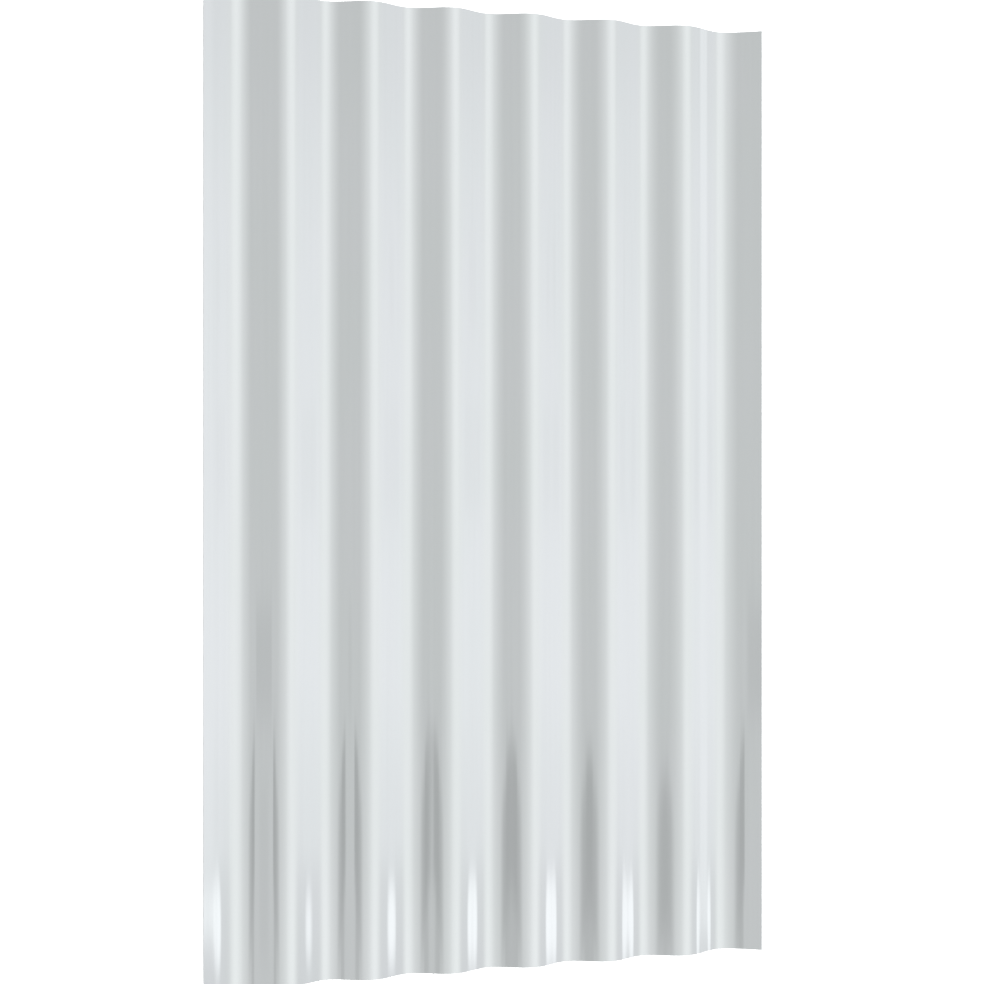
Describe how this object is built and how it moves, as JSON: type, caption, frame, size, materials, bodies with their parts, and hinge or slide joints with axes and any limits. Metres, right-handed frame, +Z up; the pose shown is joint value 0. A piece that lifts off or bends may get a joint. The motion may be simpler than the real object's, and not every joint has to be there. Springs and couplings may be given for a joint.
{
  "type": "corrugated metal sheet",
  "caption": "Galvanised steel sheet rolled into even round waves, with square-cut ends and upturned side edges, lying flat.",
  "frame": {"origin": "centre of the footprint, on the plane that the two outermost troughs rest on", "axes": "+X across the waves, +Y along the waves, +Z up through the upper face"},
  "size_m": [0.4752, 0.77, 0.0169],
  "materials": {
    "galvanised_steel": "smooth bright zinc coating, no spangle, glossy"
  },
  "bodies": {
    "root": {"corrugated_sheet": "galvanised_steel"}
  },
  "joints": []
}
